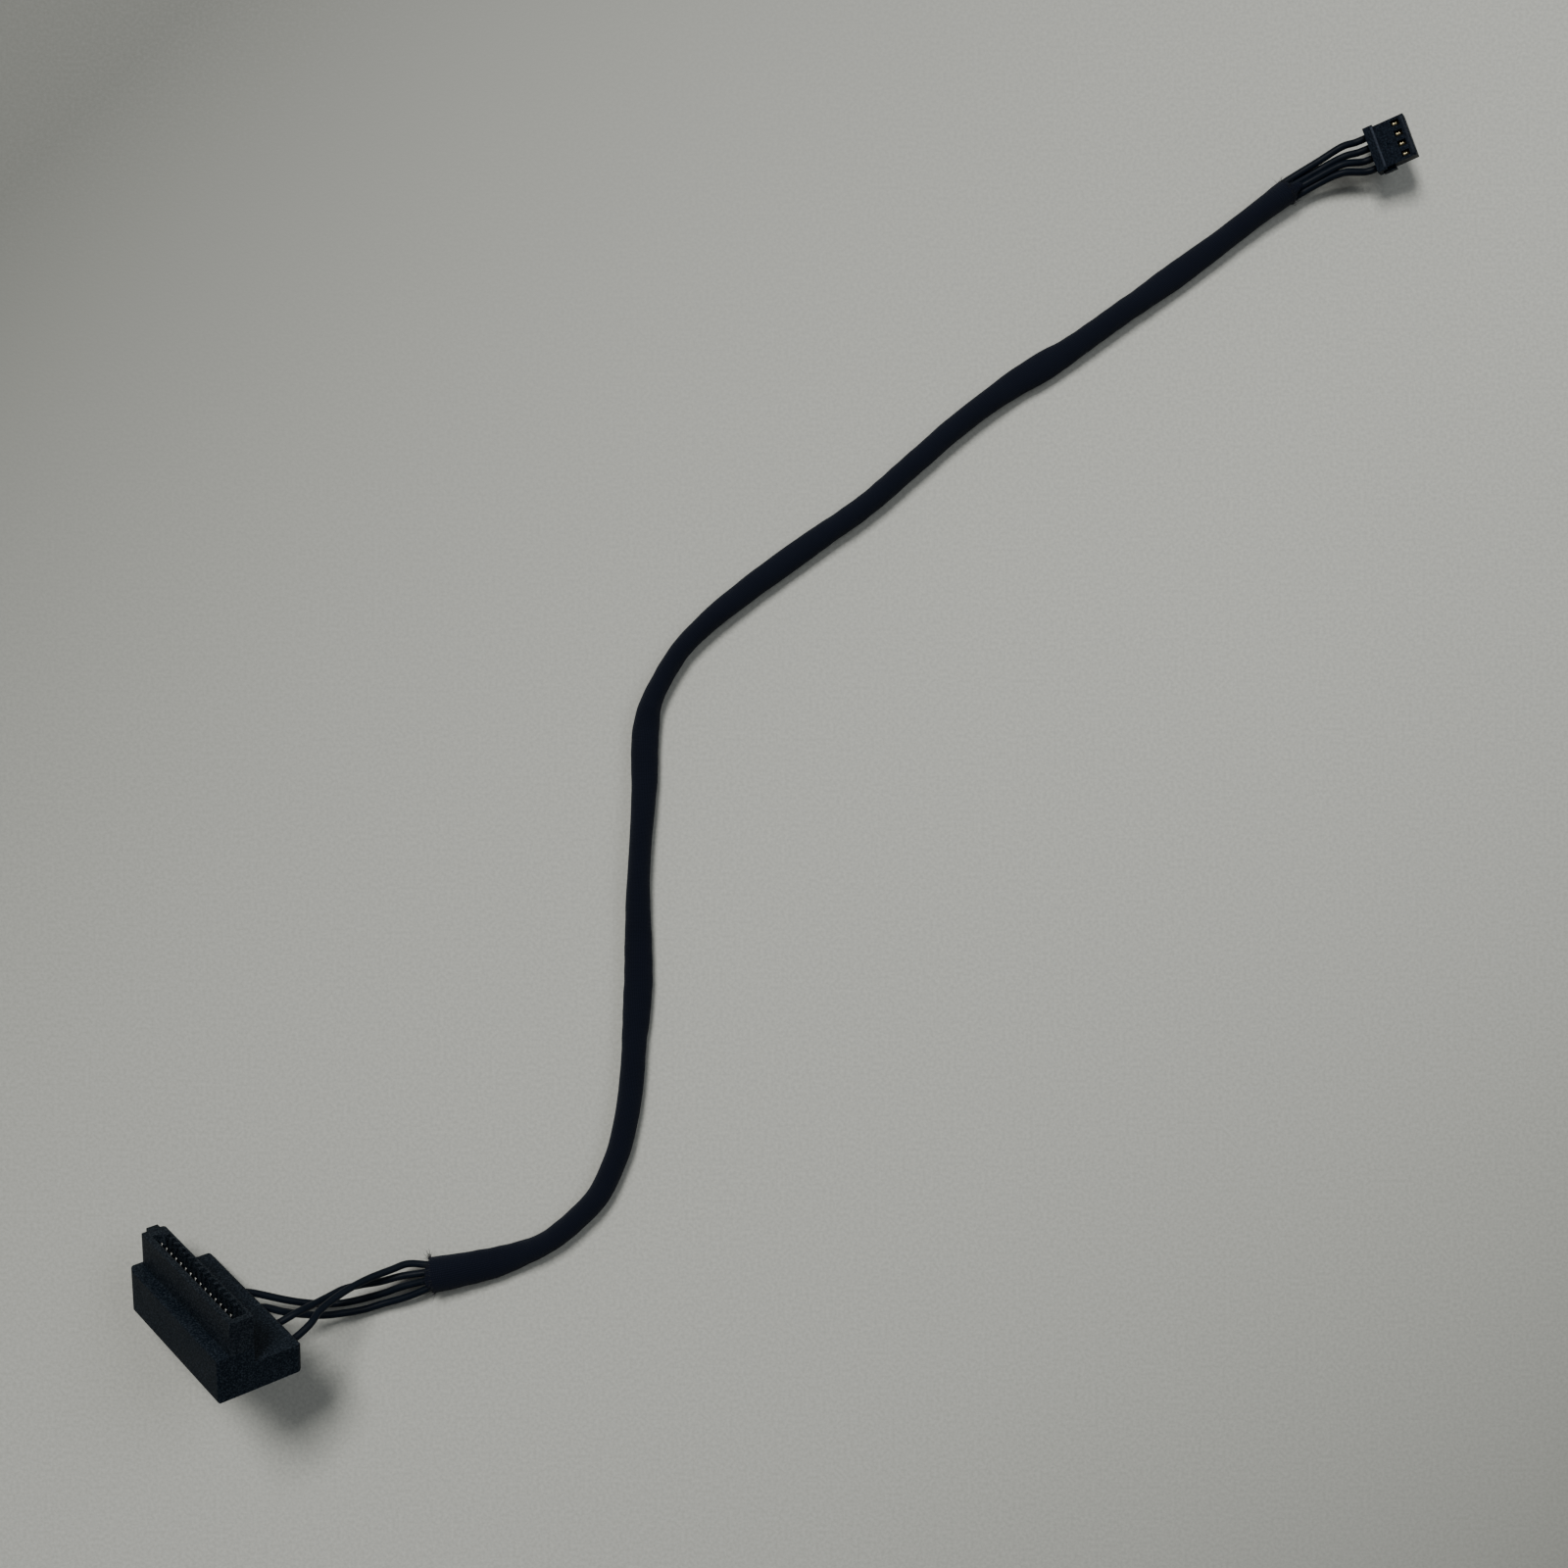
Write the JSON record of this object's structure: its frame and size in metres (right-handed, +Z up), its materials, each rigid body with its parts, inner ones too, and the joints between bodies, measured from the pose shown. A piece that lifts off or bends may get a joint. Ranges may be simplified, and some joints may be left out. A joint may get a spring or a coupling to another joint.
{
  "type": "sata power cable",
  "caption": "Short black computer power cable: right-angle drive connector with an L-keyed slot, loose wires, woven sleeve and a small board connector.",
  "frame": {"origin": "under the middle of the drive connector's box, on the surface the cable lies on", "axes": "+Z up from that surface, +X and +Y along it: the sleeve leaves the drive connector towards +X and the board connector lies at +X, +Y"},
  "size_m": [0.1586, 0.1544, 0.0246],
  "materials": {
    "black_moulding": "fine matte grain",
    "black_insulator": "satin moulded",
    "contact_metal": "bright plated",
    "black_wire": "satin insulation",
    "woven_sleeve": "fine woven",
    "gold_contact": "gold plated"
  },
  "bodies": {
    "root": {"connector_body": "black_moulding", "insulator": "black_insulator", "contact_01": "contact_metal", "contact_02": "contact_metal", "contact_03": "contact_metal", "contact_04": "contact_metal", "contact_05": "contact_metal", "contact_06": "contact_metal", "contact_07": "contact_metal", "contact_08": "contact_metal", "contact_09": "contact_metal", "contact_10": "contact_metal", "contact_11": "contact_metal", "contact_12": "contact_metal", "contact_13": "contact_metal", "contact_14": "contact_metal", "contact_15": "contact_metal", "wire_ground_a": "black_wire", "wire_five_volt": "black_wire", "wire_ground_b": "black_wire", "wire_twelve_volt": "black_wire", "sleeve": "woven_sleeve", "plug_housing": "black_insulator", "plug_terminal_1": "gold_contact", "plug_terminal_2": "gold_contact", "plug_terminal_3": "gold_contact", "plug_terminal_4": "gold_contact"}
  },
  "joints": []
}
